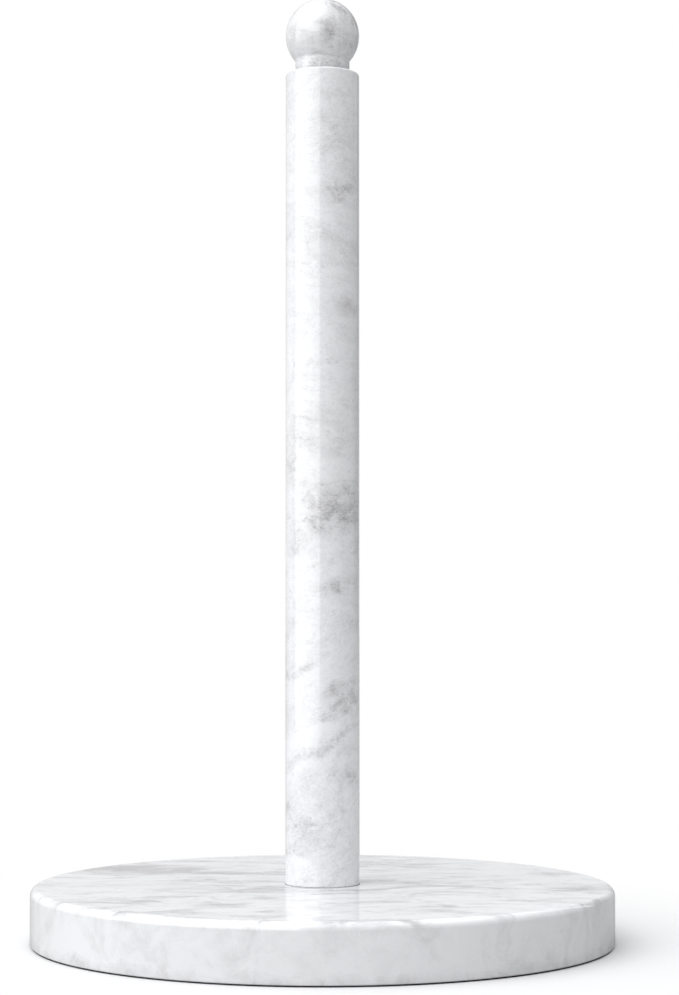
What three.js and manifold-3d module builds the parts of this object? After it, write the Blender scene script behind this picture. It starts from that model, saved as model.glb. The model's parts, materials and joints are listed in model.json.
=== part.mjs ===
// Paper towel holder: a turned marble post with a ball finial on a round marble base.
// A threaded rod runs through the post. The finial screws onto its top end and a nut under the
// base holds its bottom end, so the stone pieces are clamped between the two.
//
// Millimetres, +Z up. The origin is on the post's axis, on the surface that the holder stands on.
import * as THREE from 'three';
import { mergeVertices } from 'three/addons/utils/BufferGeometryUtils.js';
import Module from 'manifold-3d';

const wasm = await Module();
wasm.setup();

// ---- Driving dimensions ------------------------------------------------------------------

// Base
const BASE_DIAMETER = 190;
const BASE_THICKNESS = 18;
const BASE_TOP_FILLET = 2.5;
const BASE_BOTTOM_ARRIS = 0.4;
const SEAT_DEPTH = 1;
const SEAT_CLEARANCE = 0.15;

// Post
const POST_DIAMETER = 24.3;
const POST_LENGTH = 267;
const POST_ARRIS = 0.8;
const POST_BORE_CLEARANCE = 1;

// Finial
const BALL_DIAMETER = 24.3;
const COLLAR_DIAMETER = 17.9;
const COLLAR_HEIGHT = 4.1;
const INSERT_WALL = 2;
const INSERT_LENGTH = 12.5;
const INSERT_GLUE_GAP = 0.1;
const INSERT_RECESS = 0.2;
const FINIAL_BORE_SPARE = 1.2;

// Rod and its thread
const ROD_DIAMETER = 6;
const THREAD_GAP = 0.2;
const ROD_ENGAGEMENT = 12;
const ROD_TAIL = 0.5;
const BORE_CLEARANCE = 0.5;

// Gaskets, washers and nut
const GASKET_THICKNESS = 0.5;
const GASKET_INSET = 1.5;
const FINIAL_WASHER_THICKNESS = 0.5;
const FINIAL_WASHER_INSET = 0.8;
const FIBRE_WASHER_DIAMETER = 20;
const FIBRE_WASHER_THICKNESS = 1;
const PLATE_WASHER_DIAMETER = 18;
const PLATE_WASHER_THICKNESS = 1.6;
const SPRING_WASHER_DIAMETER = 11.8;
const SPRING_WASHER_THICKNESS = 1.6;
const SPRING_WASHER_SLIT_DEG = 14;
const NUT_ACROSS_FLATS = 10;
const NUT_HEIGHT = 5;
const NUT_CHAMFER_DEG = 30;
const COUNTERBORE_CLEARANCE = 4;
const NUT_SINK = 0.5;
const FACE_GAP = 0.05;

// Pad
const PAD_THICKNESS = 0.4;
const PAD_INSET = 0.5;
const PAD_HOLE_CLEARANCE = 1;

// Facets around the base, around the other turned pieces, and along each round edge
const BASE_FACETS = 96;
const STONE_FACETS = 48;
const METAL_FACETS = 32;
const RING_FACETS = 16;
const FILLET_STEPS = 5;
const ARRIS_STEPS = 2;
const BALL_STEPS = 16;

// ---- Heights and radii worked out from the driving dimensions -----------------------------

const baseRadius = BASE_DIAMETER / 2;
const postRadius = POST_DIAMETER / 2;
const rodRadius = ROD_DIAMETER / 2;
const passRadius = rodRadius + BORE_CLEARANCE;
const threadRadius = rodRadius + THREAD_GAP;

const baseBottom = PAD_THICKNESS + FACE_GAP;
const baseTop = baseBottom + BASE_THICKNESS;
const seatFloor = baseTop - SEAT_DEPTH;
const seatRadius = postRadius + SEAT_CLEARANCE;
const gasketBottom = seatFloor + FACE_GAP;
const gasketTop = gasketBottom + GASKET_THICKNESS;
const postBottom = gasketTop + FACE_GAP;
const postTop = postBottom + POST_LENGTH;
const postBore = rodRadius + POST_BORE_CLEARANCE;

const finialWasherBottom = postTop + FACE_GAP;
const finialWasherTop = finialWasherBottom + FINIAL_WASHER_THICKNESS;
const finialFoot = finialWasherTop + FACE_GAP;
const ballRadius = BALL_DIAMETER / 2;
const collarRadius = COLLAR_DIAMETER / 2;
const collarTop = finialFoot + COLLAR_HEIGHT;
const ballCentre = collarTop + Math.sqrt(ballRadius ** 2 - collarRadius ** 2);
const insertBottom = finialFoot + INSERT_RECESS;
const insertTop = insertBottom + INSERT_LENGTH;
const insertRadius = threadRadius + INSERT_WALL;
const finialBoreRadius = insertRadius + INSERT_GLUE_GAP;
const finialBoreTop = insertTop + FINIAL_BORE_SPARE;
const rodTop = finialFoot + ROD_ENGAGEMENT;

const hardware = [
  FIBRE_WASHER_THICKNESS,
  PLATE_WASHER_THICKNESS,
  SPRING_WASHER_THICKNESS,
  NUT_HEIGHT,
];
const hardwareHeight = hardware.reduce((sum, height) => sum + height + FACE_GAP, 0);
const counterboreRoof = baseBottom + NUT_SINK + ROD_TAIL + hardwareHeight;
const counterboreRadius = (FIBRE_WASHER_DIAMETER + COUNTERBORE_CLEARANCE) / 2;
const fibreWasherTop = counterboreRoof - FACE_GAP;
const plateWasherTop = fibreWasherTop - FIBRE_WASHER_THICKNESS - FACE_GAP;
const springWasherTop = plateWasherTop - PLATE_WASHER_THICKNESS - FACE_GAP;
const nutTop = springWasherTop - SPRING_WASHER_THICKNESS - FACE_GAP;
const nutBottom = nutTop - NUT_HEIGHT;
const rodBottom = nutBottom - ROD_TAIL;

const padRadius = baseRadius - PAD_INSET;
const padHoleRadius = counterboreRadius + PAD_HOLE_CLEARANCE;

// ---- Helpers ------------------------------------------------------------------------------

// A point of a turned profile: distance from the axis, and height.
const at = (radius, height) => new THREE.Vector2(radius, height);

// The points of a circular arc in a turned profile, from one angle to another, in degrees.
// 0 points away from the axis and 90 points up.
function arc(centre, radius, from, to, steps) {
  const points = [];
  for (let i = 0; i <= steps; i += 1) {
    const angle = THREE.MathUtils.degToRad(from + ((to - from) * i) / steps);
    points.push(at(centre.x + radius * Math.cos(angle), centre.y + radius * Math.sin(angle)));
  }
  return points;
}

// A solid of revolution about +Z. The profile runs up the outside of the piece.
function turned(profile, facets) {
  const geometry = new THREE.LatheGeometry(profile, facets);
  geometry.rotateX(Math.PI / 2);
  return geometry;
}

// A profile that goes round a bored piece and closes on itself.
function closed(profile) {
  return [...profile, profile[0].clone()];
}

// A plain flat ring, such as a washer.
function ring(inner, outer, bottom, top, facets) {
  const profile = [at(inner, bottom), at(outer, bottom), at(outer, top), at(inner, top)];
  return turned(closed(profile), facets);
}

// A geometry as a manifold solid: one vertex at each place, and no triangle without an area.
function solidOf(geometry) {
  const bare = geometry.clone();
  bare.deleteAttribute('normal');
  bare.deleteAttribute('uv');
  const merged = mergeVertices(bare, 1e-4);
  const corners = Array.from(merged.index.array);
  const kept = [];
  for (let i = 0; i < corners.length; i += 3) {
    const [a, b, c] = corners.slice(i, i + 3);
    if (a !== b && b !== c && c !== a) {
      kept.push(a, b, c);
    }
  }
  const mesh = new wasm.Mesh({
    numProp: 3,
    vertProperties: Float32Array.from(merged.attributes.position.array),
    triVerts: Uint32Array.from(kept),
  });
  return new wasm.Manifold(mesh);
}

// A manifold solid as a geometry.
function geometryOf(solid) {
  const mesh = solid.getMesh();
  const geometry = new THREE.BufferGeometry();
  geometry.setAttribute('position', new THREE.BufferAttribute(mesh.vertProperties, 3));
  geometry.setIndex(new THREE.BufferAttribute(mesh.triVerts, 1));
  geometry.computeVertexNormals();
  return geometry;
}

const holder = new THREE.Group();

// Adds one named piece to the holder, with its own material.
function addPiece(name, geometry, finish) {
  const material = new THREE.MeshStandardMaterial(finish);
  const mesh = new THREE.Mesh(geometry, material);
  mesh.name = name;
  holder.add(mesh);
  return mesh;
}

// ---- Finishes -----------------------------------------------------------------------------

const MARBLE = { color: 0xe4e5e8, roughness: 0.12, metalness: 0 };
const ZINC = { color: 0xb9bcc0, roughness: 0.35, metalness: 1 };
const BRASS = { color: 0xc9a45c, roughness: 0.3, metalness: 1 };
const NYLON = { color: 0xf2f1ec, roughness: 0.5, metalness: 0 };
const FIBRE = { color: 0x7c3b2a, roughness: 0.85, metalness: 0 };
const RUBBER = { color: 0x1c1c1d, roughness: 0.9, metalness: 0 };

// ---- Pieces -------------------------------------------------------------------------------

// The base: a round slab with a polished round top edge, a shallow seat for the post, a hole
// for the rod, and a counterbore beneath for the nut.
function baseDisc() {
  const arrisCentre = at(baseRadius - BASE_BOTTOM_ARRIS, baseBottom + BASE_BOTTOM_ARRIS);
  const filletCentre = at(baseRadius - BASE_TOP_FILLET, baseTop - BASE_TOP_FILLET);
  const profile = [
    at(counterboreRadius, baseBottom),
    ...arc(arrisCentre, BASE_BOTTOM_ARRIS, -90, 0, ARRIS_STEPS),
    ...arc(filletCentre, BASE_TOP_FILLET, 0, 90, FILLET_STEPS),
    at(seatRadius, baseTop),
    at(seatRadius, seatFloor),
    at(passRadius, seatFloor),
    at(passRadius, counterboreRoof),
    at(counterboreRadius, counterboreRoof),
  ];
  return turned(closed(profile), BASE_FACETS);
}

// The post: a plain column with a small rounded edge at each end, bored through for the rod.
function post() {
  const footCentre = at(postRadius - POST_ARRIS, postBottom + POST_ARRIS);
  const headCentre = at(postRadius - POST_ARRIS, postTop - POST_ARRIS);
  const profile = [
    at(postBore, postBottom),
    ...arc(footCentre, POST_ARRIS, -90, 0, ARRIS_STEPS),
    ...arc(headCentre, POST_ARRIS, 0, 90, ARRIS_STEPS),
    at(postBore, postTop),
  ];
  return turned(closed(profile), STONE_FACETS);
}

// The finial: a ball on a short collar, bored from below for its threaded insert.
function finial() {
  const meetingAngle = THREE.MathUtils.radToDeg(Math.acos(collarRadius / ballRadius));
  const profile = [
    at(0, finialBoreTop),
    at(finialBoreRadius, finialBoreTop),
    at(finialBoreRadius, finialFoot),
    at(collarRadius, finialFoot),
    ...arc(at(0, ballCentre), ballRadius, -meetingAngle, 90, BALL_STEPS).slice(0, -1),
    at(0, ballCentre + ballRadius),
  ];
  return turned(profile, STONE_FACETS);
}

// The threaded insert that is glued into the finial. Its thread is a plain bore here.
function finialInsert() {
  return ring(threadRadius, insertRadius, insertBottom, insertTop, METAL_FACETS);
}

// The thin washer that keeps the finial's stone off the post's.
function finialWasher() {
  const outer = collarRadius - FINIAL_WASHER_INSET;
  return ring(passRadius, outer, finialWasherBottom, finialWasherTop, METAL_FACETS);
}

// The threaded rod, as a plain cylinder of the thread's outer diameter.
function tieRod() {
  const profile = [at(0, rodBottom), at(rodRadius, rodBottom), at(rodRadius, rodTop), at(0, rodTop)];
  return turned(profile, METAL_FACETS);
}

// The gasket under the post, in the base's seat.
function postGasket() {
  const outer = postRadius - GASKET_INSET;
  return ring(passRadius, outer, gasketBottom, gasketTop, METAL_FACETS);
}

// The fibre washer that keeps the steel off the stone.
function fibreWasher() {
  const bottom = fibreWasherTop - FIBRE_WASHER_THICKNESS;
  return ring(passRadius, FIBRE_WASHER_DIAMETER / 2, bottom, fibreWasherTop, METAL_FACETS);
}

// The wide flat washer under the spring washer.
function plateWasher() {
  const bottom = plateWasherTop - PLATE_WASHER_THICKNESS;
  return ring(passRadius, PLATE_WASHER_DIAMETER / 2, bottom, plateWasherTop, METAL_FACETS);
}

// The spring washer, pressed flat: a ring with a slit, drawn as two arcs.
function springWasher() {
  const outer = SPRING_WASHER_DIAMETER / 2;
  const start = THREE.MathUtils.degToRad(SPRING_WASHER_SLIT_DEG / 2);
  const end = 2 * Math.PI - start;
  const shape = new THREE.Shape();
  shape.absarc(0, 0, outer, start, end, false);
  shape.absarc(0, 0, passRadius, end, start, true);
  shape.closePath();
  const settings = { depth: SPRING_WASHER_THICKNESS, bevelEnabled: false, curveSegments: RING_FACETS };
  const geometry = new THREE.ExtrudeGeometry(shape, settings);
  geometry.translate(0, 0, springWasherTop - SPRING_WASHER_THICKNESS);
  return geometry;
}

// The hexagon nut: a bored prism whose corners are turned off at both ends.
function clampNut() {
  const cornerRadius = NUT_ACROSS_FLATS / Math.sqrt(3);
  const flatRadius = NUT_ACROSS_FLATS / 2;
  const chamfer = (cornerRadius - flatRadius) * Math.tan(THREE.MathUtils.degToRad(NUT_CHAMFER_DEG));
  const hexagon = new THREE.CylinderGeometry(cornerRadius, cornerRadius, NUT_HEIGHT, 6);
  hexagon.rotateX(Math.PI / 2);
  hexagon.translate(0, 0, nutBottom + NUT_HEIGHT / 2);
  const turnedOff = turned([
    at(0, nutBottom),
    at(flatRadius, nutBottom),
    at(cornerRadius, nutBottom + chamfer),
    at(cornerRadius, nutTop - chamfer),
    at(flatRadius, nutTop),
    at(0, nutTop),
  ], METAL_FACETS);
  const bore = new THREE.CylinderGeometry(threadRadius, threadRadius, 2 * NUT_HEIGHT, METAL_FACETS);
  bore.rotateX(Math.PI / 2);
  bore.translate(0, 0, nutBottom + NUT_HEIGHT / 2);
  const solid = solidOf(hexagon).intersect(solidOf(turnedOff)).subtract(solidOf(bore));
  return geometryOf(solid);
}

// The thin anti-slip pad under the whole base. It is open in the middle, to let a wrench in.
function basePad() {
  return ring(padHoleRadius, padRadius, 0, PAD_THICKNESS, BASE_FACETS);
}

// ---- Assembly -----------------------------------------------------------------------------

addPiece('base_disc', baseDisc(), MARBLE);
addPiece('post', post(), MARBLE);
addPiece('finial', finial(), MARBLE);
addPiece('finial_insert', finialInsert(), BRASS);
addPiece('finial_washer', finialWasher(), NYLON);
addPiece('tie_rod', tieRod(), ZINC);
addPiece('post_gasket', postGasket(), NYLON);
addPiece('fibre_washer', fibreWasher(), FIBRE);
addPiece('plate_washer', plateWasher(), ZINC);
addPiece('spring_washer', springWasher(), ZINC);
addPiece('clamp_nut', clampNut(), ZINC);
addPiece('base_pad', basePad(), RUBBER);

export default holder;
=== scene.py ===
"""Paper towel holder: the polished marble, the clamping hardware, and a plain studio.

Metres, +Z up. The origin is on the post's axis, on the surface that the holder stands on.
"""

import json
import math

import bmesh
import bpy
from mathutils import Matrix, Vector


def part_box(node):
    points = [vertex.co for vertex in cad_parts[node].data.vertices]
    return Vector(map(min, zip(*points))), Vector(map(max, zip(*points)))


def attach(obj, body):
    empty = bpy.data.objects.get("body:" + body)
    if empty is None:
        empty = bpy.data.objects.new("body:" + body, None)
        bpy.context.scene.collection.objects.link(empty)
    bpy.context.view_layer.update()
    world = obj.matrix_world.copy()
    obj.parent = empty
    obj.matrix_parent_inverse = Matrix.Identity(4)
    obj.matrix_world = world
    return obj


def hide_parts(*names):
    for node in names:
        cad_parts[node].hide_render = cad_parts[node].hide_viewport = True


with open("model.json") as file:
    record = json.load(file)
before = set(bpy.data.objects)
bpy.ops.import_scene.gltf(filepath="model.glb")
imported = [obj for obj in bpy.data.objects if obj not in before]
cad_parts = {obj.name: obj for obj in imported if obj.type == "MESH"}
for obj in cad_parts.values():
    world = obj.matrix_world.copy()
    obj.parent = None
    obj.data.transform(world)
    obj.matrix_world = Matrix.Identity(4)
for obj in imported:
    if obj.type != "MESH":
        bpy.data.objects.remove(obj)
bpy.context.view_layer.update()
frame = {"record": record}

MM = 0.001

# ---- Sizes --------------------------------------------------------------------------------


def low_of(node):
    """The height of a CAD piece's lowest point."""
    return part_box(node)[0].z


def top_of(node):
    """The height of a CAD piece's highest point."""
    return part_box(node)[1].z


def radius_of(node):
    """Half of a round CAD piece's width."""
    low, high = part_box(node)
    return (high.x - low.x) / 2


BASE_RADIUS = radius_of("base_disc")
POST_RADIUS = radius_of("post")
BALL_RADIUS = radius_of("finial")
ROD_RADIUS = radius_of("tie_rod")

# Stone
BASE_TOP_FILLET = 2.5 * MM
BASE_BOTTOM_ARRIS = 0.4 * MM
SEAT_CLEARANCE = 0.15 * MM
SEAT_DEPTH = 1 * MM
ROD_PASS_CLEARANCE = 0.5 * MM
COUNTERBORE_CLEARANCE = 2 * MM
FACE_GAP = 0.05 * MM
POST_ARRIS = 0.8 * MM
POST_BORE_CLEARANCE = 1 * MM
COLLAR_RADIUS = 8.95 * MM
COLLAR_FOOT_EDGE = 0.25 * MM
COLLAR_FILLET = 1.3 * MM
STONE_HOLE_EDGE = 0.3 * MM
INSERT_GLUE_GAP = 0.1 * MM
INSERT_BORE_SPARE = 1.2 * MM

# M6 coarse thread, as the standard draws it
PITCH = 1 * MM
THREAD_DEPTH = 0.541 * PITCH
ROOT_FLAT = 1 / 4
CREST_FLAT = 1 / 8
THREAD_GAP = 0.1 * MM
THREADED_LENGTH = 20 * MM
RUN_OUT = 1.5 * MM
ROD_CHAMFER = 0.7 * MM
COUNTERSINK = 0.15 * MM

# Small hardware
WASHER_EDGE = 0.15 * MM
GASKET_EDGE = 0.12 * MM
PAD_EDGE = 0.08 * MM
PAD_HOLE_CLEARANCE = 1 * MM
NUT_CHAMFER = math.radians(30)
NUT_FACE_SHARE = 0.96
SPRING_SLIT = math.radians(14)
SPRING_SLANT = math.radians(20)
KNURLS = 36
KNURL_DEPTH = 0.15 * MM
GLUE_GROOVE = 0.35 * MM

# How finely the turned pieces are divided
BASE_SIDES = 288
STONE_SIDES = 160
ROD_SIDES = 64
NUT_SIDES = 96
INSERT_SIDES = 144
WASHER_SIDES = 96
THREAD_ROWS = 10
SPARE_TURNS = 2.0
ARC_STEPS = 10
SLAB_ARC_STEPS = 24
COLLAR_ARC_STEPS = 5
RING_ARC_STEPS = 4
FILLET_STEPS = 8
BALL_STEPS = 72

# The support point beside a round edge, the seams that merge, and where an edge turns sharp
SUPPORT = 0.12 * MM
MERGE = 0.0005 * MM
SHARP = math.radians(28)

# ---- Node helpers -------------------------------------------------------------------------


def add(tree, kind, inputs=None, **settings):
    """Adds a node. An input is a plain value, or the socket that feeds it."""
    node = tree.nodes.new(kind)
    for name, value in settings.items():
        setattr(node, name, value)
    for key, value in (inputs or {}).items():
        if isinstance(value, bpy.types.NodeSocket):
            tree.links.new(value, node.inputs[key])
        else:
            node.inputs[key].default_value = value
    return node


def calc(tree, operation, a, b=0.0, c=0.0, clamp=False):
    """One sum of a node tree."""
    node = add(tree, "ShaderNodeMath", {0: a, 1: b, 2: c}, operation=operation, use_clamp=clamp)
    return node.outputs[0]


def new_tree(name, inputs):
    """A Geometry Nodes tree with named inputs. Each input is a name, a kind and a value."""
    tree = bpy.data.node_groups.new(name, "GeometryNodeTree")
    tree.interface.new_socket("Geometry", in_out="INPUT", socket_type="NodeSocketGeometry")
    tree.interface.new_socket("Geometry", in_out="OUTPUT", socket_type="NodeSocketGeometry")
    for label, kind, value in inputs:
        socket = tree.interface.new_socket(label, in_out="INPUT", socket_type=kind)
        if value is not None:
            socket.default_value = value
    return tree, tree.nodes.new("NodeGroupInput").outputs


def finish_tree(tree, geometry, material):
    """Ends a tree with merged seams, real geometry and its material."""
    merged = add(tree, "GeometryNodeMergeByDistance", {"Geometry": geometry, "Distance": MERGE})
    real = add(tree, "GeometryNodeRealizeInstances", {"Geometry": merged.outputs[0]})
    finish = {"Geometry": real.outputs[0], "Material": material}
    painted = add(tree, "GeometryNodeSetMaterial", finish)
    output = tree.nodes.new("NodeGroupOutput")
    tree.links.new(painted.outputs[0], output.inputs[0])


def grown(tree, seed_mesh, values):
    """The plain mesh that a tree makes of a seed mesh, with its named inputs set."""
    seed = bpy.data.objects.new("seed", seed_mesh)
    bpy.context.scene.collection.objects.link(seed)
    modifier = seed.modifiers.new("grow", "NODES")
    modifier.node_group = tree
    for item in tree.interface.items_tree:
        if item.item_type == "SOCKET" and item.in_out == "INPUT" and item.name in values:
            modifier[item.identifier] = values[item.name]
    graph = bpy.context.evaluated_depsgraph_get()
    mesh = bpy.data.meshes.new_from_object(seed.evaluated_get(graph))
    seed.modifiers.remove(modifier)
    bpy.data.objects.remove(seed)
    return mesh


# ---- Turning and thread cutting -----------------------------------------------------------


def row_and_column(tree, columns):
    """Which row and which column of a grid each of its points is in, counted from 0."""
    index = tree.nodes.new("GeometryNodeInputIndex").outputs[0]
    row = calc(tree, "FLOOR", calc(tree, "DIVIDE", calc(tree, "ADD", index, 0.5), columns))
    column = calc(tree, "SUBTRACT", index, calc(tree, "MULTIPLY", row, columns))
    return row, column


def turning_tree():
    """Turns an outline in the XZ plane about the Z axis, as a lathe does."""
    tree, given = new_tree("turn_on_lathe", [
        ("Sides", "NodeSocketInt", 96),
        ("Material", "NodeSocketMaterial", None),
    ])
    size = add(tree, "GeometryNodeAttributeDomainSize", {"Geometry": given["Geometry"]})
    columns = calc(tree, "ADD", given["Sides"], 1.0)
    grid = add(tree, "GeometryNodeMeshGrid", {
        "Vertices X": size.outputs["Point Count"],
        "Vertices Y": columns,
    })
    row, column = row_and_column(tree, columns)
    place = tree.nodes.new("GeometryNodeInputPosition").outputs[0]
    outline = add(tree, "GeometryNodeSampleIndex", {
        "Geometry": given["Geometry"],
        "Value": place,
        "Index": row,
    }, data_type="FLOAT_VECTOR", domain="POINT")
    turn = calc(tree, "MULTIPLY", calc(tree, "DIVIDE", column, given["Sides"]), math.tau)
    turned_place = add(tree, "ShaderNodeVectorRotate", {
        "Vector": outline.outputs[0],
        "Angle": turn,
    }, rotation_type="Z_AXIS")
    moved = add(tree, "GeometryNodeSetPosition", {
        "Geometry": grid.outputs["Mesh"],
        "Position": turned_place.outputs[0],
    })
    finish_tree(tree, moved.outputs[0], given["Material"])
    return tree


def thread_height(tree, given, row, turn):
    """The height of each point. The rows start a turn below the bottom and climb a pitch a turn."""
    step = calc(tree, "DIVIDE", given["Pitch"], given["Rows per Turn"])
    base_turn = calc(tree, "FLOOR", calc(tree, "DIVIDE", given["Bottom"], given["Pitch"]))
    start = calc(tree, "MULTIPLY", calc(tree, "SUBTRACT", base_turn, 1.0), given["Pitch"])
    flat_height = calc(tree, "ADD", start, calc(tree, "MULTIPLY", row, step))
    climb = calc(tree, "MULTIPLY", turn, given["Pitch"])
    free_height = calc(tree, "ADD", flat_height, climb)
    above = calc(tree, "MAXIMUM", free_height, given["Bottom"])
    return calc(tree, "MINIMUM", above, given["Top"])


def thread_radius(tree, given, height, turn, from_bottom, from_top):
    """The radius of each point: a root flat, a crest flat and straight flanks between them.

    The thread grows shallower along the run-out at each end.
    """
    phase = calc(tree, "FRACT", calc(tree, "SUBTRACT", calc(tree, "DIVIDE", height, given["Pitch"]), turn))
    from_root = calc(tree, "ABSOLUTE", calc(tree, "SUBTRACT", phase, 0.5))
    flank = (1 - ROOT_FLAT - CREST_FLAT) / 2
    past_root = calc(tree, "SUBTRACT", from_root, ROOT_FLAT / 2)
    rise = calc(tree, "DIVIDE", past_root, flank, clamp=True)
    below_crest = calc(tree, "MULTIPLY", calc(tree, "SUBTRACT", 1.0, rise), given["Depth"])
    fade_low = calc(tree, "DIVIDE", from_bottom, given["Bottom Run-out"], clamp=True)
    fade_high = calc(tree, "DIVIDE", from_top, given["Top Run-out"], clamp=True)
    fade = calc(tree, "MULTIPLY", fade_low, fade_high)
    crest = calc(tree, "ADD", given["Root Radius"], given["Depth"])
    return calc(tree, "SUBTRACT", crest, calc(tree, "MULTIPLY", below_crest, fade))


def coned_radius(tree, given, radius, from_bottom, from_top):
    """The radius with 45 degree cones at the ends.

    They cut an outside thread down, and open an inside thread up.
    """
    cone_low = calc(tree, "ADD", given["Bottom End Radius"], from_bottom)
    cone_high = calc(tree, "ADD", given["Top End Radius"], from_top)
    coned = calc(tree, "MINIMUM", calc(tree, "MINIMUM", radius, cone_low), cone_high)
    sink_low = calc(tree, "SUBTRACT", given["Bottom End Radius"], from_bottom)
    sink_high = calc(tree, "SUBTRACT", given["Top End Radius"], from_top)
    sunk = calc(tree, "MAXIMUM", calc(tree, "MAXIMUM", radius, sink_low), sink_high)
    outside_share = calc(tree, "MULTIPLY", coned, calc(tree, "SUBTRACT", 1.0, given["Inside"]))
    return calc(tree, "ADD", outside_share, calc(tree, "MULTIPLY", sunk, given["Inside"]))


def thread_tree():
    """The skin of one threaded stretch. Its rows climb with the thread, and stop at both ends.

    Outside threads end in a cone or run out to full thickness, inside threads in a countersink.
    One spare turn of rows is below the bottom, and one makes sure that every column ends at the top.
    """
    tree, given = new_tree("cut_thread", [
        ("Sides", "NodeSocketInt", 64),
        ("Rows per Turn", "NodeSocketInt", 10),
        ("Pitch", "NodeSocketFloat", PITCH),
        ("Root Radius", "NodeSocketFloat", 0.0),
        ("Depth", "NodeSocketFloat", THREAD_DEPTH),
        ("Bottom", "NodeSocketFloat", 0.0),
        ("Top", "NodeSocketFloat", 0.0),
        ("Bottom End Radius", "NodeSocketFloat", 0.0),
        ("Top End Radius", "NodeSocketFloat", 0.0),
        ("Bottom Run-out", "NodeSocketFloat", MERGE),
        ("Top Run-out", "NodeSocketFloat", MERGE),
        ("Inside", "NodeSocketFloat", 0.0),
        ("Material", "NodeSocketMaterial", None),
    ])
    length = calc(tree, "SUBTRACT", given["Top"], given["Bottom"])
    full_turns = calc(tree, "CEIL", calc(tree, "DIVIDE", length, given["Pitch"]))
    turns = calc(tree, "ADD", full_turns, SPARE_TURNS)
    rows = calc(tree, "ADD", calc(tree, "MULTIPLY", turns, given["Rows per Turn"]), 1.0)
    columns = calc(tree, "ADD", given["Sides"], 1.0)
    grid = add(tree, "GeometryNodeMeshGrid", {"Vertices X": rows, "Vertices Y": columns})
    row, column = row_and_column(tree, columns)
    turn = calc(tree, "DIVIDE", column, given["Sides"])
    height = thread_height(tree, given, row, turn)
    from_bottom = calc(tree, "SUBTRACT", height, given["Bottom"])
    from_top = calc(tree, "SUBTRACT", given["Top"], height)
    radius = thread_radius(tree, given, height, turn, from_bottom, from_top)
    radius = coned_radius(tree, given, radius, from_bottom, from_top)
    angle = calc(tree, "MULTIPLY", turn, math.tau)
    place = add(tree, "ShaderNodeCombineXYZ", {
        "X": calc(tree, "MULTIPLY", radius, calc(tree, "COSINE", angle)),
        "Y": calc(tree, "MULTIPLY", radius, calc(tree, "SINE", angle)),
        "Z": height,
    })
    moved = add(tree, "GeometryNodeSetPosition", {
        "Geometry": grid.outputs["Mesh"],
        "Position": place.outputs[0],
    })
    finish_tree(tree, moved.outputs[0], given["Material"])
    return tree


# ---- Outlines and meshes ------------------------------------------------------------------


def arc(radius, height, bend, start, end, steps=ARC_STEPS):
    """The points of a round edge of an outline, with a support point just before and after it.

    The centre is at a radius and height, and the angles are in degrees: 0 outwards, 90 up.
    """
    sign = math.copysign(1, end - start)
    points = []
    for i in range(steps + 1):
        angle = math.radians(start + (end - start) * i / steps)
        points.append((radius + bend * math.cos(angle), height + bend * math.sin(angle)))
    for place, degrees, side in ((0, start, -1), (len(points), end, 1)):
        angle = math.radians(degrees)
        along = Vector((-math.sin(angle), math.cos(angle))) * sign * side * SUPPORT
        edge = points[0 if side < 0 else -1]
        points.insert(place if side < 0 else len(points), (edge[0] + along.x, edge[1] + along.y))
    return points


def ring_outline(inner, outer, bottom, top, edge):
    """The closed outline of a flat ring whose four edges are rounded."""
    points = []
    points += arc(outer - edge, bottom + edge, edge, -90, 0, RING_ARC_STEPS)
    points += arc(outer - edge, top - edge, edge, 0, 90, RING_ARC_STEPS)
    points += arc(inner + edge, top - edge, edge, 90, 180, RING_ARC_STEPS)
    points += arc(inner + edge, bottom + edge, edge, 180, 270, RING_ARC_STEPS)
    return points + points[:1]


def outline_mesh(points):
    """An outline as loose points and edges in the XZ plane."""
    mesh = bpy.data.meshes.new("outline")
    corners = [(radius, 0, height) for radius, height in points]
    edges = [(i, i + 1) for i in range(len(corners) - 1)]
    mesh.from_pydata(corners, edges, [])
    return mesh


def turned(points, sides, material):
    """An outline turned on the lathe, as a mesh."""
    return grown(LATHE, outline_mesh(points), {"Sides": sides, "Material": material})


def threaded(bottom, top, root, sides, material, **ends):
    """The mesh of one threaded stretch. The ends are named as the tree's inputs are."""
    values = {
        "Sides": sides,
        "Rows per Turn": THREAD_ROWS,
        "Root Radius": root,
        "Bottom": bottom,
        "Top": top,
        "Material": material,
    }
    values.update(ends)
    return grown(THREADER, outline_mesh([(0, 0), (0, 1)]), values)


def closed_mesh(name, meshes):
    """Joins meshes into one closed skin that faces outwards, with crisp edges where it turns."""
    form = bmesh.new()
    for mesh in meshes:
        form.from_mesh(mesh)
    bmesh.ops.remove_doubles(form, verts=form.verts, dist=2 * MERGE)
    bmesh.ops.dissolve_degenerate(form, edges=form.edges, dist=MERGE)
    bmesh.ops.recalc_face_normals(form, faces=form.faces)
    joined = bpy.data.meshes.new(name)
    form.to_mesh(joined)
    form.free()
    joined.shade_smooth()
    joined.set_sharp_from_angle(angle=SHARP)
    return joined


def add_piece(name, mesh, node, material):
    """Adds a finished piece that stands for a CAD node and moves as it does."""
    mesh.materials.clear()
    mesh.materials.append(material)
    piece = bpy.data.objects.new(name, mesh)
    bpy.context.scene.collection.objects.link(piece)
    bodies = frame["record"]["behaviour"]["bodies"]
    body = next(name for name, nodes in bodies.items() if node in nodes)
    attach(piece, body)
    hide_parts(node)
    return piece


# ---- Shader helpers -----------------------------------------------------------------------


def new_material(name):
    """A material with an empty tree, and the place on the piece that its pattern is read at."""
    material = bpy.data.materials.new(name)
    material.use_nodes = True
    tree = material.node_tree
    tree.nodes.clear()
    place = tree.nodes.new("ShaderNodeTexCoord").outputs["Object"]
    return material, tree, place


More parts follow.
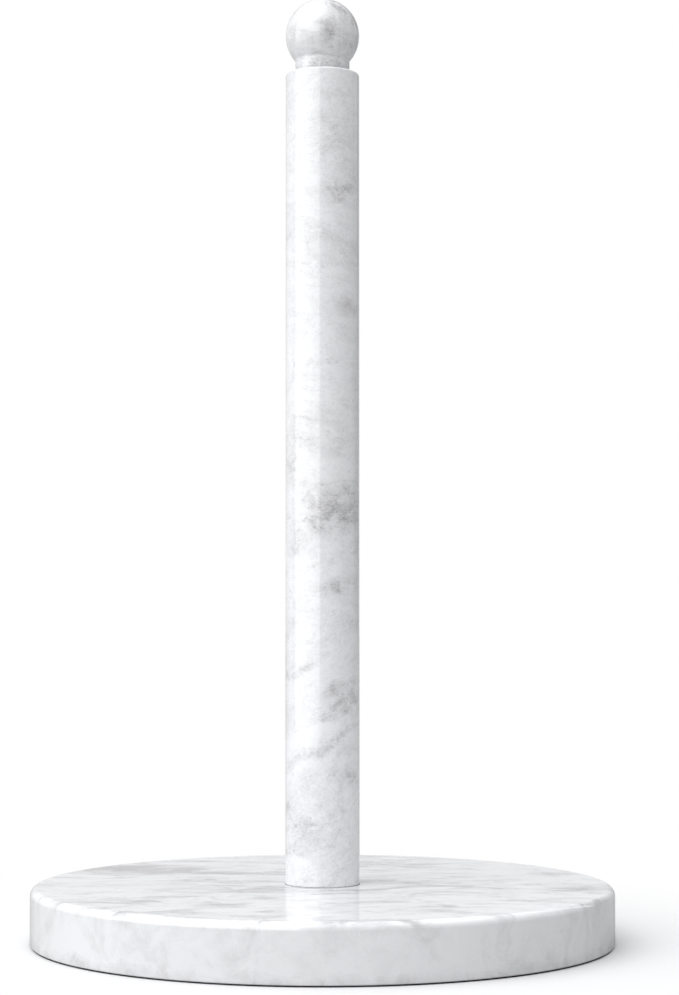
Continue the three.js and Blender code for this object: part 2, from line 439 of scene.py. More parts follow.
def finish_shader(tree, shader, output="ShaderNodeOutputMaterial"):
    """Ends a shader tree with its output."""
    end = tree.nodes.new(output)
    tree.links.new(shader.outputs[0], end.inputs[0])


def noise(tree, place, scale, detail=4.0, roughness=0.55, distortion=0.0):
    """A noise texture. Its value and its colours lie about the middle, between 0 and 1."""
    node = add(tree, "ShaderNodeTexNoise", {
        "Vector": place,
        "Scale": scale,
        "Detail": detail,
        "Roughness": roughness,
        "Distortion": distortion,
    })
    return node


def ramp(tree, value, low, high, to_low=0.0, to_high=1.0):
    """A smooth step of a value from one level to another."""
    node = add(tree, "ShaderNodeMapRange", {
        "Value": value,
        "From Min": low,
        "From Max": high,
        "To Min": to_low,
        "To Max": to_high,
    }, interpolation_type="SMOOTHSTEP")
    return node.outputs[0]


def blend(tree, share, first, second):
    """A mix of two colours."""
    node = add(tree, "ShaderNodeMix", {0: share, 6: first, 7: second}, data_type="RGBA")
    return node.outputs[2]


def jostled(tree, place, scale, reach, detail=4.0):
    """A place pushed about by noise of a scale, by up to about a fifth of the reach."""
    colour = noise(tree, place, scale, detail, 0.55).outputs["Color"]
    push = add(tree, "ShaderNodeVectorMath", {0: colour, 1: (0.5, 0.5, 0.5)}, operation="SUBTRACT")
    pushed = add(tree, "ShaderNodeVectorMath", {0: push.outputs[0], 1: reach, 2: place},
                 operation="MULTIPLY_ADD")
    return pushed.outputs[0]


def near_level(tree, value, level, width):
    """A thin line where a value passes a level."""
    apart = calc(tree, "ABSOLUTE", calc(tree, "SUBTRACT", value, level))
    return ramp(tree, apart, width, 0.0)


# ---- Marble -------------------------------------------------------------------------------

CALM_BELOW = top_of("base_disc") - BASE_TOP_FILLET
BOLD_ABOVE = top_of("base_disc")
MARBLE_WHITE = (0.835, 0.843, 0.857, 1)
MARBLE_GREY = (0.355, 0.348, 0.358, 1)
MARBLE_WARM = (0.70, 0.68, 0.66, 1)
MARBLE_MAUVE = (0.66, 0.62, 0.65, 1)
TINT_SHARE = 0.22

# The polish mirrors the room more strongly than bare marble does
POLISH_INDEX = 1.95

# How coarsely and how far the beds are folded and the patches are torn, and how streaks are combed
FOLD_SCALE = 15
FOLD_REACH = (0.034, 0.034, 0.024)
TEAR_SCALE = 85
TEAR_REACH = (0.014, 0.014, 0.009)
COMB_SHIFT = (0.4, 0.1, 0.7)
COMB_POWER = 1.2

# Each mark's noise: where it is read, its scale, detail, roughness and distortion. Then come the
# levels between which the mark goes from none to full.
MARKS = {
    "cloud": ("beds", 25, 9, 0.62, 0.7, 0.49, 0.66),
    "haze": ("beds", 62, 8, 0.68, 0.9, 0.44, 0.66),
    "streak": ("combed", 42, 8, 0.64, 0.5, 0.51, 0.68),
    "mottle": ("pushed", 260, 6, 0.72, 0.6, 0.3, 0.7),
    "speckle": ("place", 900, 3, 0.75, 0.0, 0.3, 0.7),
    "grain": ("place", 480, 4, 0.75, 1.5, 0.52, 0.68),
    "speck": ("place", 1250, 1, 0.5, 0.8, 0.62, 0.72),
    "fleck": ("pushed", 700, 2, 0.6, 1.2, 0.66, 0.76),
}
BOTH_WAYS = ("mottle", "speckle")
DARK_LINE = (0.47, 0.012)
WHITE_LINE = (0.55, 0.014)

# How much grey each mark adds where it is full, or takes away.
CLOUD_WEIGHTS = {"cloud": 0.26, "haze": 0.15, "streak": 0.24}
FINE_WEIGHTS = {"dark_line": 0.18, "grain": 0.22, "mottle": 0.30, "speck": 0.30, "fleck": -0.45}
WHITE_LINE_WEIGHT = -0.16
SPECKLE_WEIGHT = 0.07

# A patch fades between two distances from its centre, in half sizes. Its seam is between them.
PATCH_EDGE = 1.25
PATCH_HEART = 0.1
SEAM_AT = 0.95
SEAM_WIDTH = 0.07
SEAM_SHARE = 0.4


def soft_patch(tree, place, centre, half_size, tilt, strength):
    """A cloudy patch of darker stone about a point, which slopes up to the right by its tilt.

    A thin dark seam runs over its upper side. Most patches are darker stone; some are painted shade.
    """
    offset = add(tree, "ShaderNodeVectorMath", {0: place, 1: centre}, operation="SUBTRACT")
    level = add(tree, "ShaderNodeVectorRotate", {
        "Vector": offset.outputs[0],
        "Angle": math.radians(tilt),
    }, rotation_type="Y_AXIS")
    shrink = tuple(1 / length for length in half_size)
    scaled = add(tree, "ShaderNodeVectorMath", {0: level.outputs[0], 1: shrink}, operation="MULTIPLY")
    reach = add(tree, "ShaderNodeVectorMath", {0: scaled.outputs[0]}, operation="LENGTH")
    cloud = ramp(tree, reach.outputs["Value"], PATCH_EDGE, PATCH_HEART, 0.0, strength)
    upper = add(tree, "ShaderNodeSeparateXYZ", {0: scaled.outputs[0]}).outputs["Z"]
    seam = near_level(tree, reach.outputs["Value"], SEAM_AT, SEAM_WIDTH)
    seam = calc(tree, "MULTIPLY", seam, ramp(tree, upper, 0.2, 0.8, 0.0, SEAM_SHARE * strength))
    return calc(tree, "ADD", cloud, seam)


def stone_frames(tree, place, squash, shift, slope):
    """Where the marks are read: the place on the piece, and the stone's own beds.

    The place is pushed about by slow noise. The beds are folded and squashed as well, and the
    combed ones are squashed a little further, for the streaks.
    """
    pushed = jostled(tree, place, FOLD_SCALE, FOLD_REACH)
    parts = add(tree, "ShaderNodeSeparateXYZ", {0: pushed})
    flat_above, steep_below, steepness = slope
    tip = ramp(tree, parts.outputs["Z"], flat_above, steep_below, 0.0, -steepness)
    folded = add(tree, "ShaderNodeCombineXYZ", {
        "X": parts.outputs["X"],
        "Y": parts.outputs["Y"],
        "Z": calc(tree, "MULTIPLY_ADD", parts.outputs["X"], tip, parts.outputs["Z"]),
    }).outputs[0]
    beds = add(tree, "ShaderNodeMapping", {
        "Vector": folded,
        "Location": shift,
        "Scale": squash,
    }).outputs[0]
    combed = add(tree, "ShaderNodeMapping", {
        "Vector": beds,
        "Location": COMB_SHIFT,
        "Scale": tuple(factor ** COMB_POWER for factor in squash),
    }).outputs[0]
    return {"place": place, "pushed": pushed, "beds": beds, "combed": combed}


def stone_marks(tree, frames):
    """All the marks of the stone, by name. Those that go both ways lighten it as much as darken."""
    marks = {}
    for name, (frame_name, scale, detail, roughness, distortion, low, high) in MARKS.items():
        value = noise(tree, frames[frame_name], scale, detail, roughness, distortion).outputs[0]
        span = (-0.5, 0.5) if name in BOTH_WAYS else (0.0, 1.0)
        marks[name] = ramp(tree, value, low, high, *span)
    line = noise(tree, frames["combed"], 20, 8, 0.62, 1.1).outputs[0]
    marks["dark_line"] = near_level(tree, line, *DARK_LINE)
    marks["white_line"] = near_level(tree, line, *WHITE_LINE)
    return marks


def weighed(tree, start, marks, weights):
    """A start value with each mark added by its weight."""
    total = start
    for name, weight in weights.items():
        total = calc(tree, "MULTIPLY_ADD", marks[name], weight, total)
    return total


def patched(tree, place, grey, patches, haze):
    """The grey with a piece's darker and paler patches, which are torn and broken by the haze."""
    broken = calc(tree, "MULTIPLY_ADD", haze, 0.7, 0.65)
    torn = jostled(tree, place, TEAR_SCALE, TEAR_REACH, 6)
    for centre, half_size, tilt, strength in patches:
        patch = soft_patch(tree, torn, centre, half_size, tilt, strength)
        grey = calc(tree, "MULTIPLY_ADD", patch, broken, grey)
    return grey


def crystals(tree, grey, marks, cloudy, bold, fine):
    """The grey with its thin lines, grains, specks and flecks, which are strongest in the grey."""
    marked = calc(tree, "MULTIPLY", calc(tree, "MULTIPLY", cloudy, bold), fine)
    small = weighed(tree, 0.0, marks, FINE_WEIGHTS)
    grey = calc(tree, "MULTIPLY_ADD", small, marked, grey)
    white = calc(tree, "MULTIPLY", marks["white_line"], bold)
    grey = calc(tree, "MULTIPLY_ADD", white, WHITE_LINE_WEIGHT, grey)
    speckle = calc(tree, "MULTIPLY", marks["speckle"], fine)
    return calc(tree, "MULTIPLY_ADD", speckle, SPECKLE_WEIGHT, grey, clamp=True)


def tinted(tree, beds, grey, cloudy):
    """The stone's colour: white to grey, with a trace of warm and of mauve in the grey."""
    tinge = noise(tree, beds, 22, 3, 0.5).outputs[0]
    warm = calc(tree, "MULTIPLY", ramp(tree, tinge, 0.52, 0.68), cloudy)
    mauve = calc(tree, "MULTIPLY", ramp(tree, tinge, 0.47, 0.34), cloudy)
    colour = blend(tree, grey, MARBLE_WHITE, MARBLE_GREY)
    colour = blend(tree, calc(tree, "MULTIPLY", warm, TINT_SHARE), colour, MARBLE_WARM)
    return blend(tree, calc(tree, "MULTIPLY", mauve, TINT_SHARE), colour, MARBLE_MAUVE)


def polished(tree, place, colour, marks):
    """The polish: a little duller on the grey, with the faintest unevenness."""
    roughness = calc(tree, "MULTIPLY_ADD", marks["haze"], 0.04, 0.07)
    roughness = calc(tree, "MULTIPLY_ADD", marks["grain"], 0.04, roughness)
    ripple = noise(tree, place, 140, 2, 0.5).outputs[0]
    relief = calc(tree, "MULTIPLY_ADD", marks["speckle"], 0.08, ripple)
    bump = add(tree, "ShaderNodeBump", {"Height": relief, "Strength": 0.25, "Distance": 0.03 * MM})
    return add(tree, "ShaderNodeBsdfPrincipled", {
        "Base Color": colour,
        "Roughness": roughness,
        "IOR": POLISH_INDEX,
        "Normal": bump.outputs[0],
    })


def marble(name, squash, shift, slope, patches, ground, broad, fine, calm=1.0):
    """Polished white marble with grey clouds and wispy streaks along its beds.

    The beds are squashed by a factor along each axis. Between two heights they tip over to a
    slope. The patches are this one piece's darker and paler places: a centre, half sizes, a tilt
    and a strength. Most are the stone's own clouds and veins, and some are painted shade. The piece
    is as grey all over as its ground, and its clouds and its grain are as strong as broad and fine.
    On the side of the slab only the calm share of them is left.
    """
    material, tree, place = new_material(name)
    level = add(tree, "ShaderNodeSeparateXYZ", {0: place}).outputs["Z"]
    bold = ramp(tree, level, CALM_BELOW, BOLD_ABOVE, calm, 1.0)
    frames = stone_frames(tree, place, squash, shift, slope)
    marks = stone_marks(tree, frames)
    clouds = weighed(tree, 0.0, marks, CLOUD_WEIGHTS)
    clouds = calc(tree, "MULTIPLY", clouds, calc(tree, "MULTIPLY", bold, broad))
    grey = calc(tree, "ADD", clouds, ground)
    grey = patched(tree, place, grey, patches, marks["haze"])
    cloudy = ramp(tree, grey, 0.08, 0.5, 0.35, 1.0)
    grey = crystals(tree, grey, marks, cloudy, bold, fine)
    colour = tinted(tree, frames["beds"], grey, cloudy)
    finish_shader(tree, polished(tree, place, colour, marks))
    return material


# ---- Metals, plastics and rubber ----------------------------------------------------------


def plain_finish(name, light, dark, scale, roughness, metallic=0.0, stretch=(1, 1, 1), grain=0.02):
    """A finish that varies between two tones, with its grain in colour, roughness and relief.

    The roughness is its lowest and its highest, and the grain is how deep the relief is, in
    millimetres.
    """
    material, tree, place = new_material(name)
    combed = add(tree, "ShaderNodeMapping", {"Vector": place, "Scale": stretch}).outputs[0]
    broad = ramp(tree, noise(tree, combed, scale, 5, 0.6).outputs[0], 0.35, 0.68)
    fine = noise(tree, combed, scale * 9, 3, 0.6).outputs[0]
    colour = blend(tree, broad, light, dark)
    colour = blend(tree, calc(tree, "MULTIPLY", fine, 0.25), colour, dark)
    low, high = roughness
    varied = ramp(tree, calc(tree, "MULTIPLY_ADD", fine, 0.5, calc(tree, "MULTIPLY", broad, 0.5)),
                  0.2, 0.8, low, high)
    bump = add(tree, "ShaderNodeBump", {"Height": fine, "Strength": 0.5, "Distance": grain * MM})
    shader = add(tree, "ShaderNodeBsdfPrincipled", {
        "Base Color": colour,
        "Roughness": varied,
        "Metallic": metallic,
        "Normal": bump.outputs[0],
    })
    finish_shader(tree, shader)
    return material


def zinc_steel():
    """Bright zinc plating, with its faint blue and cloudy spangle."""
    return plain_finish("zinc_plate", light=(0.66, 0.68, 0.71, 1), dark=(0.47, 0.49, 0.53, 1),
                        scale=420, roughness=(0.24, 0.42), metallic=1.0, stretch=(1, 1, 0.5),
                        grain=0.008)


def brass():
    """Turned brass."""
    return plain_finish("turned_brass", light=(0.80, 0.60, 0.29, 1), dark=(0.62, 0.42, 0.17, 1),
                        scale=300, roughness=(0.2, 0.38), metallic=1.0, stretch=(1, 1, 5),
                        grain=0.006)


def nylon():
    """Milky nylon sheet."""
    return plain_finish("milky_nylon", light=(0.82, 0.81, 0.78, 1), dark=(0.72, 0.71, 0.67, 1),
                        scale=350, roughness=(0.42, 0.58), grain=0.01)


def red_fibre():
    """Vulcanised fibre board, with its pressed paper grain."""
    return plain_finish("red_fibre_board", light=(0.30, 0.09, 0.055, 1), dark=(0.19, 0.05, 0.035, 1),
                        scale=500, roughness=(0.66, 0.9), stretch=(1, 3, 1), grain=0.03)


def pad_rubber():
    """Black rubber with a fine moulded grain."""
    return plain_finish("moulded_rubber", light=(0.028, 0.028, 0.03, 1),
                        dark=(0.016, 0.016, 0.017, 1), scale=600, roughness=(0.7, 0.92), grain=0.05)


# ---- Stone pieces -------------------------------------------------------------------------


def base_mesh(material):
    """The slab: a round top edge, a seat for the post and a counterbore for the nut."""
    bottom, top = low_of("base_disc"), top_of("base_disc")
    seat_radius = POST_RADIUS + SEAT_CLEARANCE
    seat_floor = top - SEAT_DEPTH
    rod_hole = ROD_RADIUS + ROD_PASS_CLEARANCE
    counterbore = radius_of("fibre_washer") + COUNTERBORE_CLEARANCE
    roof = top_of("fibre_washer") + FACE_GAP
    edge = STONE_HOLE_EDGE
    points = [(counterbore + edge + SUPPORT, bottom)]
    points += arc(BASE_RADIUS - BASE_BOTTOM_ARRIS, bottom + BASE_BOTTOM_ARRIS, BASE_BOTTOM_ARRIS, -90, 0)
    points += arc(BASE_RADIUS - BASE_TOP_FILLET, top - BASE_TOP_FILLET, BASE_TOP_FILLET, 0, 90,
                  SLAB_ARC_STEPS)
    points += [(BASE_RADIUS / 2, top), (seat_radius + SUPPORT, top), (seat_radius, top)]
    points += [(seat_radius, seat_floor), (rod_hole, seat_floor), (rod_hole, roof)]
    points += [(counterbore, roof), (counterbore, bottom + edge), (counterbore + edge, bottom)]
    points += points[:1]
    return closed_mesh("slab", [turned(points, BASE_SIDES, material)])


def post_mesh(material):
    """The column: a small round edge at each end, and a bore for the rod."""
    bottom, top = low_of("post"), top_of("post")
    bore = ROD_RADIUS + POST_BORE_CLEARANCE
    inner = POST_RADIUS - POST_ARRIS
    edge = STONE_HOLE_EDGE
    points = [(bore + edge, bottom)]
    points += arc(inner, bottom + POST_ARRIS, POST_ARRIS, -90, 0)
    points += arc(inner, top - POST_ARRIS, POST_ARRIS, 0, 90)
    points += [(bore + edge, top), (bore, top - edge), (bore, bottom + edge)]
    points += points[:1]
    return closed_mesh("post", [turned(points, STONE_SIDES, material)])


def finial_mesh(material):
    """The ball on its collar, with a small hollow fillet between, bored for the threaded insert."""
    foot, top = low_of("finial"), top_of("finial")
    bore = radius_of("finial_insert") + INSERT_GLUE_GAP
    bore_top = top_of("finial_insert") + INSERT_BORE_SPARE
    centre = top - BALL_RADIUS
    neck = COLLAR_RADIUS + COLLAR_FILLET
    meeting = -math.degrees(math.acos(neck / (BALL_RADIUS + COLLAR_FILLET)))
    neck_height = centre - math.sqrt((BALL_RADIUS + COLLAR_FILLET) ** 2 - neck ** 2)
    edge = COLLAR_FOOT_EDGE
    points = [(0, bore_top), (bore, bore_top), (bore, foot)]
    points += arc(COLLAR_RADIUS - edge, foot + edge, edge, -90, 0, COLLAR_ARC_STEPS)
    points += arc(neck, neck_height, COLLAR_FILLET, 180, 180 + meeting, FILLET_STEPS)[:-2]
    for i in range(BALL_STEPS):
        angle = math.radians(meeting + (90 - meeting) * i / BALL_STEPS)
        points.append((BALL_RADIUS * math.cos(angle), centre + BALL_RADIUS * math.sin(angle)))
    points.append((0, top))
    return closed_mesh("finial", [turned(points, STONE_SIDES, material)])


# ---- Clamping hardware --------------------------------------------------------------------


def rod_mesh(material):
    """The tie rod: an M6 thread at each end, a plain shank between, and coned ends."""
    bottom, top = low_of("tie_rod"), top_of("tie_rod")
    root = ROD_RADIUS - THREAD_DEPTH
    tip = ROD_RADIUS - ROD_CHAMFER
    shank_low, shank_high = bottom + THREADED_LENGTH, top - THREADED_LENGTH
    low_ends = {"Bottom End Radius": tip, "Top End Radius": ROD_RADIUS, "Top Run-out": RUN_OUT}
    high_ends = {"Bottom End Radius": ROD_RADIUS, "Top End Radius": tip, "Bottom Run-out": RUN_OUT}
    return closed_mesh("tie_rod", [
        turned([(0, bottom), (tip, bottom)], ROD_SIDES, material),
        threaded(bottom, shank_low, root, ROD_SIDES, material, **low_ends),
        turned([(ROD_RADIUS, shank_low), (ROD_RADIUS, shank_high)], ROD_SIDES, material),
        threaded(shank_high, top, root, ROD_SIDES, material, **high_ends),
        turned([(tip, top), (0, top)], ROD_SIDES, material),
    ])


def inside_thread(bottom, top, sides, material):
    """The thread of a nut or an insert, a little clear of the rod's, and the radius of its ends."""
    root = ROD_RADIUS - THREAD_DEPTH + THREAD_GAP
    mouth = ROD_RADIUS + THREAD_GAP + COUNTERSINK
    ends = {"Bottom End Radius": mouth, "Top End Radius": mouth, "Inside": 1.0}
    return threaded(bottom, top, root, sides, material, **ends), mouth


def insert_mesh(material):
    """The insert: a knurled sleeve with two glue grooves, threaded right through."""
    bottom, top = low_of("finial_insert"), top_of("finial_insert")
    outer = radius_of("finial_insert")
    skin, mouth = inside_thread(bottom, top, INSERT_SIDES, material)
    edge = 2 * WASHER_EDGE
    points = [(mouth, bottom)] + arc(outer - edge, bottom + edge, edge, -90, 0, RING_ARC_STEPS)
    third = (top - bottom) / 3
    for level in (bottom + third, top - third):
        points += [
            (outer, level - 2 * GLUE_GROOVE),
            (outer - GLUE_GROOVE, level - GLUE_GROOVE),
            (outer - GLUE_GROOVE, level + GLUE_GROOVE),
            (outer, level + 2 * GLUE_GROOVE),
        ]
    points += arc(outer - edge, top - edge, edge, 0, 90, RING_ARC_STEPS) + [(mouth, top)]
    sleeve = turned(points, INSERT_SIDES, material)
    for corner in sleeve.vertices:
        radius = math.hypot(corner.co.x, corner.co.y)
        if radius > outer - WASHER_EDGE / 2:
            turn = math.atan2(corner.co.y, corner.co.x)
            cut = KNURL_DEPTH * (0.5 - 0.5 * math.cos(KNURLS * turn))
            corner.co.x *= (radius - cut) / radius
            corner.co.y *= (radius - cut) / radius
    return closed_mesh("finial_insert", [sleeve, skin])


def nut_mesh(material):
    """The hexagon nut: its corners are turned off at both ends, and its thread is countersunk."""
    bottom, top = low_of("clamp_nut"), top_of("clamp_nut")
    flat = radius_of("clamp_nut")
    skin, mouth = inside_thread(bottom, top, NUT_SIDES, material)
    face = flat * NUT_FACE_SHARE
    points = [(mouth, bottom), (face, bottom), (flat, bottom), (flat, top), (face, top), (mouth, top)]
    body = turned(points, NUT_SIDES, material)
    sixth = math.tau / 6
    for corner in body.vertices:
        radius = math.hypot(corner.co.x, corner.co.y)
        if radius > (face + flat) / 2:
            turn = math.atan2(corner.co.y, corner.co.x)
            from_flat = (turn + sixth / 2) % sixth - sixth / 2
            reach = flat / math.cos(from_flat)
            drop = (reach - face) * math.tan(NUT_CHAMFER)
            corner.co.x *= reach / radius
            corner.co.y *= reach / radius
            corner.co.z += drop if corner.co.z < (bottom + top) / 2 else -drop
    return closed_mesh("clamp_nut", [body, skin])


def spring_washer_mesh():
    """The split spring washer, pressed flat: its section leans and its slit is cut on a slant."""
    bottom, top = low_of("spring_washer"), top_of("spring_washer")
    outer = radius_of("spring_washer")
    inner = ROD_RADIUS + ROD_PASS_CLEARANCE
    middle = (bottom + top) / 2
    section = ring_outline(inner, outer, bottom, top, WASHER_EDGE)[:-1]
    steps = WASHER_SIDES
    form = bmesh.new()
    loops = []
    for i in range(steps + 1):
        loop = []
        for radius, height in section:
            lean = (height - middle) * math.tan(SPRING_SLANT) / outer
            turn = SPRING_SLIT / 2 + (math.tau - SPRING_SLIT) * i / steps + lean
            loop.append(form.verts.new((radius * math.cos(turn), radius * math.sin(turn), height)))
        loops.append(loop)
    for here, there in zip(loops, loops[1:]):
        for i in range(len(section)):
            j = (i + 1) % len(section)
            form.faces.new((here[i], here[j], there[j], there[i]))
    form.faces.new(loops[0])
    form.faces.new(loops[-1])
    mesh = bpy.data.meshes.new("spring_washer")
    form.to_mesh(mesh)
    form.free()
    return closed_mesh("spring_washer", [mesh])


def ring_mesh(node, edge, material):
    """A flat washer or gasket with its edges rounded over."""
    inner = ROD_RADIUS + ROD_PASS_CLEARANCE
    points = ring_outline(inner, radius_of(node), low_of(node), top_of(node), edge)
    return closed_mesh(node, [turned(points, WASHER_SIDES, material)])


def pad_mesh(material):
    """The thin sheet under the slab, open in the middle so that the nut can be reached."""
    hole = radius_of("fibre_washer") + COUNTERBORE_CLEARANCE + PAD_HOLE_CLEARANCE
    bottom, top = low_of("base_pad"), top_of("base_pad")
    points = ring_outline(hole, radius_of("base_pad"), bottom, top, PAD_EDGE)
    return closed_mesh("base_pad", [turned(points, BASE_SIDES, material)])


# ---- The studio ---------------------------------------------------------------------------

CAMERA_DISTANCE = 0.7138
CAMERA_HEIGHT = 0.1009
CAMERA_TILT = 1.62
CAMERA_LENS = 78.56
CAMERA_SHIFT = (0.0171, 0.0733)

SOFTBOX_BEARING = 50.5
SOFTBOX_DISTANCE = 1.15
SOFTBOX_SIZE = (2.1, 2.2)
SOFTBOX_RADIANCE = 1.05

# The room's light: its level at the walls and overhead, and what its parts add or take away
ROOM_COLOUR = (0.985, 0.99, 1, 1)
WALL_LEVEL = 0.58
ZENITH_LEVEL = 1.65
RIGHT_SHARE = 0.92
KEY_DIRECTION = (-0.62, -0.35, 0.70)
KEY_GLOW = 0.8
LEFT_GLOW = 0.2
BEHIND_GLOW = 0.13
STRIP_GLOW = 1.5
CORNER_SHADE = -0.3

# The floor is painted near the holder and fades to plain white between two distances
FLOOR_HALF = 60.0
FLOOR_PAINTED = 0.10
FLOOR_WHITE = 0.22
FLOOR_PAINT = (0.74, 0.74, 0.743, 1)
FLOOR_BOUNCE = (0.39, 0.39, 0.39, 1)


def make_camera():
    """The camera stands in front, a third of the way up, and looks very slightly upwards."""
    lens = bpy.data.cameras.new("camera")
    lens.lens = CAMERA_LENS
    lens.shift_x, lens.shift_y = CAMERA_SHIFT
    lens.clip_end = 4 * FLOOR_HALF
    camera = bpy.data.objects.new("camera", lens)
    camera.location = (0, -CAMERA_DISTANCE, CAMERA_HEIGHT)
    camera.rotation_euler = (math.radians(90 + CAMERA_TILT), 0, 0)
    bpy.context.scene.collection.objects.link(camera)
    bpy.context.scene.camera = camera


def make_softbox():
    """One tall softbox at the front left, standing on the floor."""
    width, height = SOFTBOX_SIZE
    light = bpy.data.lights.new("softbox", "AREA")
    light.shape = "RECTANGLE"
    light.size = width
    light.size_y = height
    light.energy = SOFTBOX_RADIANCE * math.pi * width * height
    box = bpy.data.objects.new("softbox", light)
    bearing = math.radians(SOFTBOX_BEARING)
    away = Vector((-math.sin(bearing), -math.cos(bearing), 0))
    box.location = away * SOFTBOX_DISTANCE + Vector((0, 0, height / 2))
    box.rotation_euler = away.to_track_quat("Z", "Y").to_euler()
    box.visible_camera = False
    bpy.context.scene.collection.objects.link(box)


def make_world():
    """A white backdrop, and the soft room light that the stone mirrors.

    The room is brightest overhead. It has a key glow high at the front left, a weaker glow at the
    left and a faint one behind, and a narrow bright strip in a dimmer corner at the right behind.
    """
    world = bpy.data.worlds.new("studio")
    world.use_nodes = True
    tree = world.node_tree
    tree.nodes.clear()
    direction = tree.nodes.new("ShaderNodeTexCoord").outputs["Generated"]
    right, back, up = add(tree, "ShaderNodeSeparateXYZ", {0: direction}).outputs
    overhead = ramp(tree, up, 0.45, 1.0, WALL_LEVEL, ZENITH_LEVEL)
    sideways = ramp(tree, right, -0.6, 1.0, 1.0, RIGHT_SHARE)
    towards = add(tree, "ShaderNodeVectorMath", {0: direction, 1: KEY_DIRECTION},
                  operation="DOT_PRODUCT").outputs["Value"]
    key = ramp(tree, towards, 0.8, 0.98, 0.0, KEY_GLOW)
    left = ramp(tree, right, -0.3, -0.95, 0.0, LEFT_GLOW)
    behind = ramp(tree, back, 0.8, 1.0, 0.0, BEHIND_GLOW)
    corner = calc(tree, "MULTIPLY", ramp(tree, right, 0.2, 0.6, 0.0, CORNER_SHADE),
                  ramp(tree, back, 0.2, 0.65))
    strip = calc(tree, "MULTIPLY", near_level(tree, back, 0.62, 0.06),
                 ramp(tree, right, 0.0, 0.25, 0.0, STRIP_GLOW))
    strip = calc(tree, "MULTIPLY", strip, ramp(tree, up, 0.05, 0.35))
    strength = calc(tree, "MULTIPLY_ADD", overhead, sideways, key)
    for part in (left, behind, corner, strip):
        strength = calc(tree, "ADD", strength, part)
    room = add(tree, "ShaderNodeBackground", {"Color": ROOM_COLOUR, "Strength": strength})
    backdrop = add(tree, "ShaderNodeBackground", {"Color": (1, 1, 1, 1), "Strength": 1.0})
    seen = tree.nodes.new("ShaderNodeLightPath").outputs["Is Camera Ray"]
    both = add(tree, "ShaderNodeMixShader", {0: seen, 1: room.outputs[0], 2: backdrop.outputs[0]})
    finish_shader(tree, both, "ShaderNodeOutputWorld")
    bpy.context.scene.world = world


def floor_paint():
    """Matt paint that fades to white round the holder. It throws less light back than it shows."""
    material, tree, place = new_material("floor_paint")
    away = add(tree, "ShaderNodeVectorMath", {0: place}, operation="LENGTH").outputs["Value"]
    paint = add(tree, "ShaderNodeBsdfDiffuse", {"Color": FLOOR_PAINT})
    white = add(tree, "ShaderNodeEmission", {"Color": (1, 1, 1, 1), "Strength": 1.0})
    faded = ramp(tree, away, FLOOR_PAINTED, FLOOR_WHITE)
    shown = add(tree, "ShaderNodeMixShader", {0: faded, 1: paint.outputs[0], 2: white.outputs[0]})
    bounce = add(tree, "ShaderNodeBsdfDiffuse", {"Color": FLOOR_BOUNCE})
    seen = tree.nodes.new("ShaderNodeLightPath").outputs["Is Camera Ray"]
    both = add(tree, "ShaderNodeMixShader", {0: seen, 1: bounce.outputs[0], 2: shown.outputs[0]})
    finish_shader(tree, both)
    return material


def make_floor():
    """A plain, pale, matt floor."""
    mesh = bpy.data.meshes.new("floor")
    half = FLOOR_HALF
    corners = [(-half, -half, 0), (half, -half, 0), (half, half, 0), (-half, half, 0)]
    mesh.from_pydata(corners, [], [(0, 1, 2, 3)])
    mesh.materials.append(floor_paint())
    floor = bpy.data.objects.new("floor", mesh)
    bpy.context.scene.collection.objects.link(floor)


def make_studio():
    """Camera, light and floor, with tones shown as they are lit."""
    make_camera()
    make_softbox()
    make_world()
    make_floor()
    bpy.context.scene.view_settings.view_transform = "Standard"


# ---- Assembly -----------------------------------------------------------------------------

# The darker and paler places of each stone piece, in millimetres: centre, half sizes, tilt in
# degrees and strength. Most are the stone's own clouds and veins; the ones marked below are painted shade.
FRONT = -POST_RADIUS / MM
POST_PATCHES = [
    ((2, FRONT, 277), (9, 8, 2), 4, 0.16),
    ((6, FRONT, 245), (8, 9, 4), 0, 0.20),
    ((9, FRONT, 207), (6, 10, 5), -22, 0.34),
    ((0, FRONT, 189), (5, 8, 2), 0, 0.26),
    ((1, FRONT, 160), (9, 8, 4), 10, 0.20),
    ((-11, FRONT, 156), (4, 9, 5), 10, 0.34),
    ((7, FRONT, 141), (18, 16, 9), 10, 0.46),
    ((11, FRONT, 142), (7, 12, 5), 30, 0.24),
    ((-9, FRONT, 129), (5, 8, 5), 10, 0.30),
    ((3, FRONT, 115), (8, 8, 3), 15, 0.18),
    ((-7, FRONT, 87), (8, 16, 1.8), 31, 0.44),
    ((4, FRONT, 82), (4, 8, 3), 31, 0.38),
    ((4, FRONT, 76), (16, 20, 2.4), 31, 0.36),
    ((-5, FRONT, 68), (14, 20, 3.4), 31, -0.34),
    ((0, FRONT, 63), (18, 20, 1.6), 31, 0.40),
    ((7, FRONT, 54), (8, 9, 3.5), 8, 0.32),
    ((3, FRONT, 24), (30, 18, 34), 0, 0.12),
]
SLAB_TOP = top_of("base_disc") / MM
SLAB_FOOT = low_of("base_disc") / MM
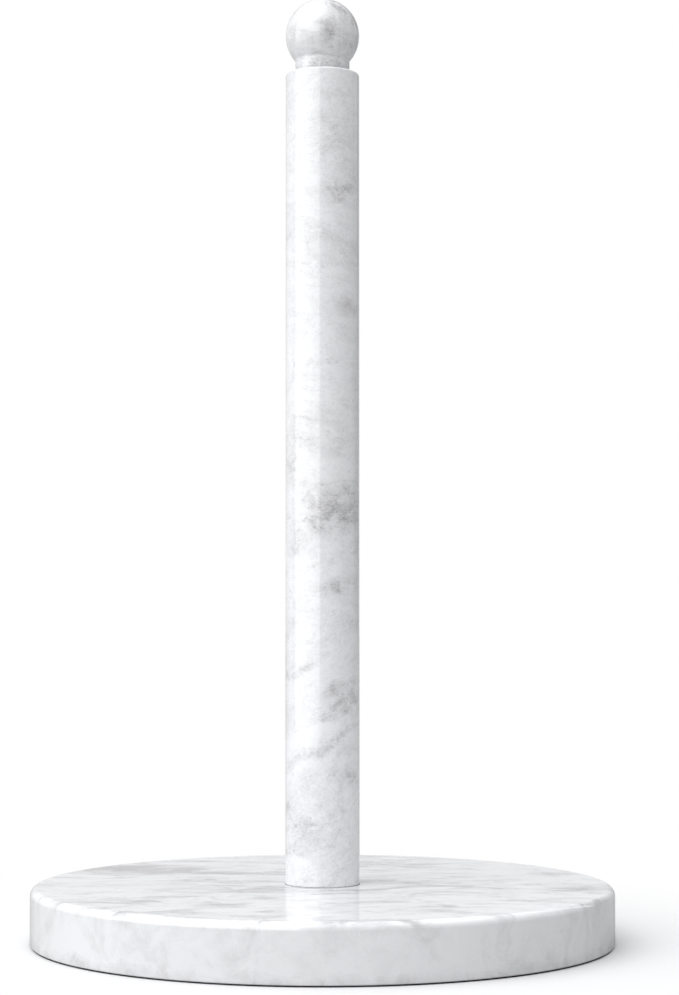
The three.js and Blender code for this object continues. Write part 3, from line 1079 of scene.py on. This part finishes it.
BASE_STONE_AND_SHADE_PATCHES = [
    ((-63, 42, SLAB_TOP), (27, 20, 6), 0, 0.98),
    ((-34, 33, SLAB_TOP), (30, 6, 6), 0, 0.72),
    ((-42, -8, SLAB_TOP), (55, 75, 6), 0, 0.13),
    ((81, -15, SLAB_TOP), (16, 12, 6), 0, 0.52),
    # Painted shadow of the post on the slab's top, to its right and to its left
    ((25, 4, SLAB_TOP), (22, 7, 6), 0, 0.72),
    ((-24, 5, SLAB_TOP), (13, 6, 6), 0, 0.55),
    ((-76, -62, 8), (9, 20, 5), 45, -0.25),
    # Painted shade: the slab darker towards the bottom, over its lowest few millimetres by the floor
    ((0, 0, SLAB_FOOT), (400, 400, 3), 0, 0.28),
]
FINIAL_STONE_AND_SHADE_PATCHES = [
    ((2.5, FRONT, 296), (5, 7, 6), 0, 0.40),
    # Painted shade on the ball's upper right, the side turned away from the key light
    ((7, -4, 306), (9, 10, 8), -30, 0.62),
    # Painted shade on the collar, under the ball where the two meet
    ((0, -9, 286), (15, 16, 4.5), 0, 0.62),
]

# Where the beds start to tip over, where they have tipped, and by how much
POST_SLOPE = (115 * MM, 90 * MM, 0.6)
LEVEL = (0.0, 0.01, 0.0)


def in_metres(patches):
    """The patches with their centres and half sizes in metres."""
    return [
        (tuple(Vector(centre) * MM), tuple(Vector(half_size) * MM), tilt, strength)
        for centre, half_size, tilt, strength in patches
    ]


make_studio()

LATHE = turning_tree()
THREADER = thread_tree()

BASE_MARBLE = marble("base_marble", squash=(1, 1.7, 1.2), shift=(0.31, 0.17, 0.05), slope=LEVEL,
                     patches=in_metres(BASE_STONE_AND_SHADE_PATCHES), ground=0.0, broad=2.0, fine=0.55, calm=0.36)
POST_MARBLE = marble("post_marble", squash=(1, 1, 1.7), shift=(0.02, 0.11, 0.40), slope=POST_SLOPE,
                     patches=in_metres(POST_PATCHES), ground=0.02, broad=0.55, fine=1.5)
FINIAL_MARBLE = marble("finial_marble", squash=(1, 1, 1.6), shift=(0.77, 0.21, 0.13), slope=LEVEL,
                       patches=in_metres(FINIAL_STONE_AND_SHADE_PATCHES), ground=0.09, broad=0.7, fine=1.4)
ZINC = zinc_steel()
BRASS = brass()
NYLON = nylon()
FIBRE = red_fibre()
RUBBER = pad_rubber()

add_piece("marble_base", base_mesh(BASE_MARBLE), "base_disc", BASE_MARBLE)
add_piece("marble_post", post_mesh(POST_MARBLE), "post", POST_MARBLE)
add_piece("marble_finial", finial_mesh(FINIAL_MARBLE), "finial", FINIAL_MARBLE)
add_piece("brass_insert", insert_mesh(BRASS), "finial_insert", BRASS)
add_piece("threaded_rod", rod_mesh(ZINC), "tie_rod", ZINC)
add_piece("hexagon_nut", nut_mesh(ZINC), "clamp_nut", ZINC)
add_piece("split_washer", spring_washer_mesh(), "spring_washer", ZINC)
for name, node, edge, material, slot in (
    ("flat_washer", "plate_washer", WASHER_EDGE, ZINC, "zinc_steel"),
    ("fibre_ring", "fibre_washer", WASHER_EDGE, FIBRE, "red_fibre"),
    ("finial_ring", "finial_washer", GASKET_EDGE, NYLON, "nylon"),
    ("post_ring", "post_gasket", GASKET_EDGE, NYLON, "nylon"),
):
    add_piece(name, ring_mesh(node, edge, material), node, material)
add_piece("rubber_pad", pad_mesh(RUBBER), "base_pad", RUBBER)
